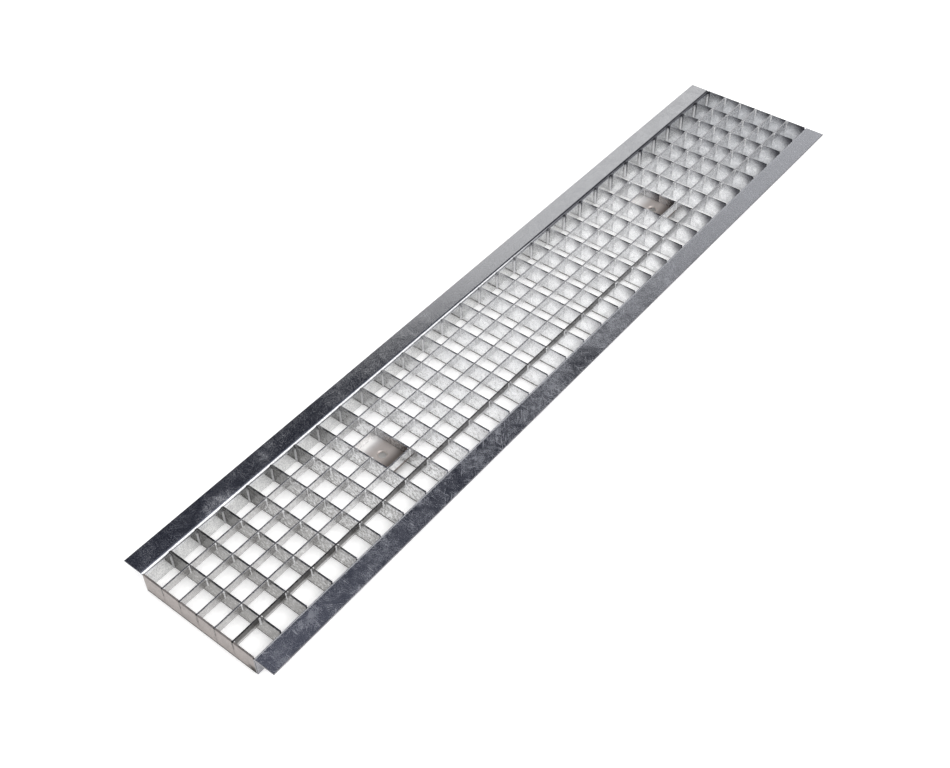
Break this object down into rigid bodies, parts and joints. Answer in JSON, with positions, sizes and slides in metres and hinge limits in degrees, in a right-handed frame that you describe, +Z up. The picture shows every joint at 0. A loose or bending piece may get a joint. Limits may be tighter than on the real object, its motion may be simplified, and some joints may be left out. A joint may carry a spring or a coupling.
{
  "type": "channel drain grate",
  "caption": "Long mesh grate for a drainage channel: upright slotted bars and flat cross rods between folded side flanges, with countersunk bolt plates set in the mesh.",
  "frame": {"origin": "centre of the underside, at the middle of the length and of the width", "axes": "+Y along the channel, +Z up out of the walking surface, +X across to the right flange"},
  "size_m": [0.196, 1, 0.025],
  "materials": {
    "zinc_sheet": "hot-dip galvanised, mottled",
    "zinc_bar": "hot-dip galvanised, dull",
    "zinc_rod": "hot-dip galvanised, dull",
    "zinc_weld": "zinc-coated weld bead",
    "bracket_plate": "stainless, satin"
  },
  "bodies": {
    "root": {"angle_left": "zinc_sheet", "angle_right": "zinc_sheet", "bracket_near": "bracket_plate", "bracket_far": "bracket_plate", "welds_left": "zinc_weld", "welds_right": "zinc_weld", "bearing_bar_01": "zinc_bar", "bearing_bar_02": "zinc_bar", "bearing_bar_03": "zinc_bar", "bearing_bar_04": "zinc_bar", "bearing_bar_05": "zinc_bar", "bearing_bar_06": "zinc_bar", "bearing_bar_07": "zinc_bar", "bearing_bar_08": "zinc_bar", "bearing_bar_09": "zinc_bar", "bearing_bar_10": "zinc_bar", "bearing_bar_11": "zinc_bar", "bearing_bar_12": "zinc_bar", "bearing_bar_13": "zinc_bar", "bearing_bar_14": "zinc_bar", "bearing_bar_15": "zinc_bar", "bearing_bar_16": "zinc_bar", "bearing_bar_17": "zinc_bar", "bearing_bar_18": "zinc_bar", "bearing_bar_19": "zinc_bar", "bearing_bar_20": "zinc_bar", "bearing_bar_21": "zinc_bar", "bearing_bar_22": "zinc_bar", "bearing_bar_23": "zinc_bar", "bearing_bar_24": "zinc_bar", "bearing_bar_25": "zinc_bar", "bearing_bar_26": "zinc_bar", "bearing_bar_27": "zinc_bar", "bearing_bar_28": "zinc_bar", "bearing_bar_29": "zinc_bar", "bearing_bar_30": "zinc_bar", "bearing_bar_31": "zinc_bar", "cross_rod_1": "zinc_rod", "cross_rod_2": "zinc_rod", "cross_rod_4": "zinc_rod", "cross_rod_5": "zinc_rod", "middle_rod_near": "zinc_rod", "middle_rod_centre": "zinc_rod", "middle_rod_far": "zinc_rod"}
  },
  "joints": []
}
